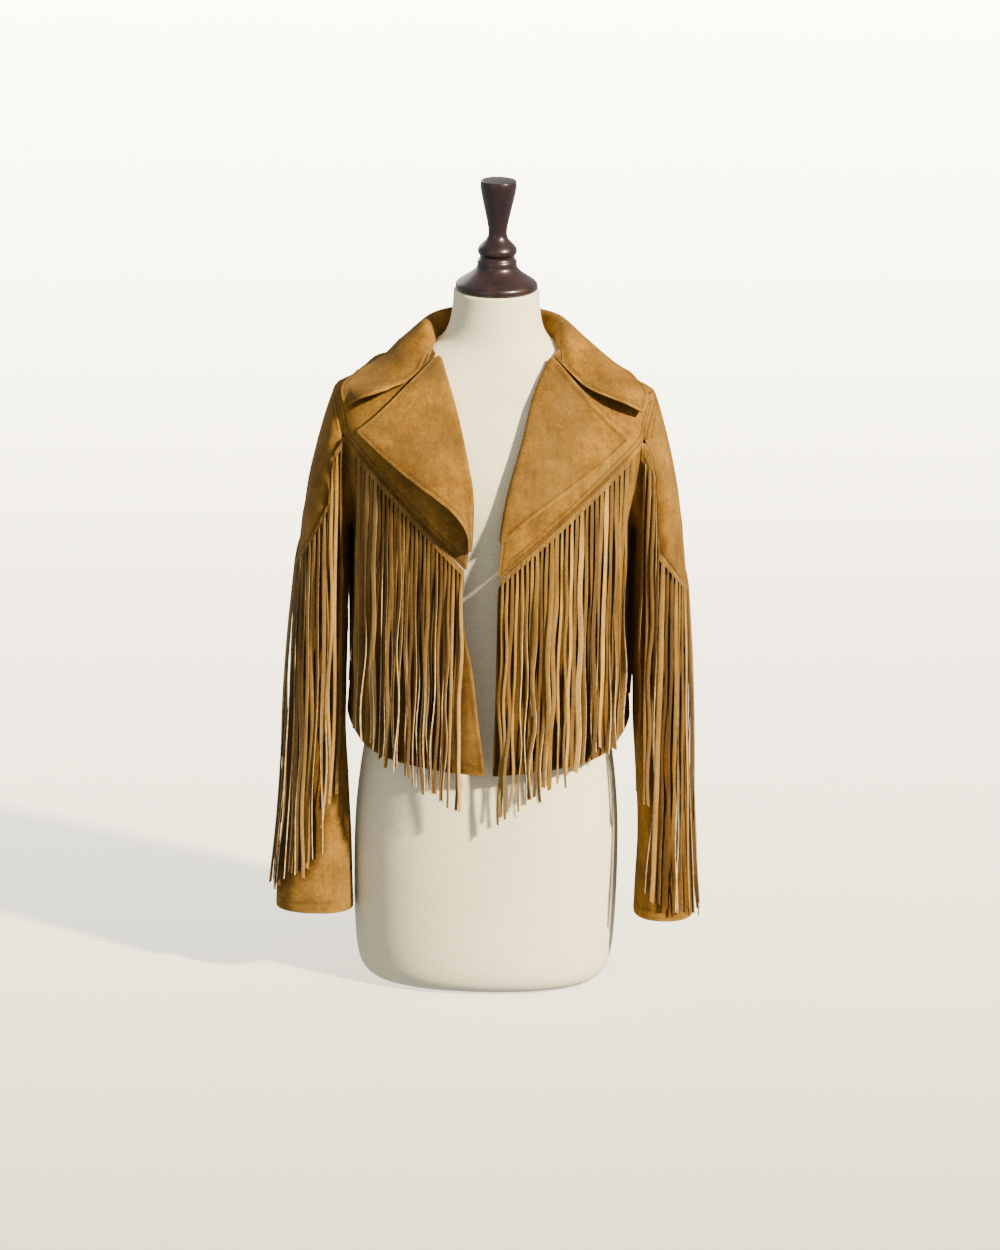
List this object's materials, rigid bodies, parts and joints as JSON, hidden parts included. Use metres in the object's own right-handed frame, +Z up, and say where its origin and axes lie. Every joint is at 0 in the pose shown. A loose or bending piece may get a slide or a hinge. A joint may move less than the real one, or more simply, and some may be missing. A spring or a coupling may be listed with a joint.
{
  "type": "fringed suede jacket on a dress form",
  "caption": "Cropped open suede jacket with notched collar, pointed yokes and long cut fringe, on a limbless linen dress form with a turned wooden neck cap.",
  "frame": {"origin": "centre of the footprint box at the base of the dress form, on the floor", "axes": "+Z up the form, -Y out of the jacket's open front, +X towards the wearer's left sleeve"},
  "size_m": [0.5118, 0.2836, 0.985],
  "materials": {
    "suede": "golden-tan napped suede",
    "fringe_suede": "cut strands of the same suede",
    "form_linen": "tight cream linen jersey",
    "dark_wood": "glossy dark turned wood"
  },
  "bodies": {
    "root": {"form_torso": "form_linen", "neck_cap": "dark_wood", "back_body": "suede", "back_yoke": "suede", "collar": "suede", "front_body_left": "suede", "front_yoke_left": "suede", "lapel_left": "suede", "sleeve_cap_left": "suede", "sleeve_left": "suede", "fringe_sleeve_left": "fringe_suede", "fringe_front_left": "fringe_suede", "front_body_right": "suede", "front_yoke_right": "suede", "lapel_right": "suede", "sleeve_cap_right": "suede", "sleeve_right": "suede", "fringe_sleeve_right": "fringe_suede", "fringe_front_right": "fringe_suede", "fringe_back": "fringe_suede"}
  },
  "joints": []
}
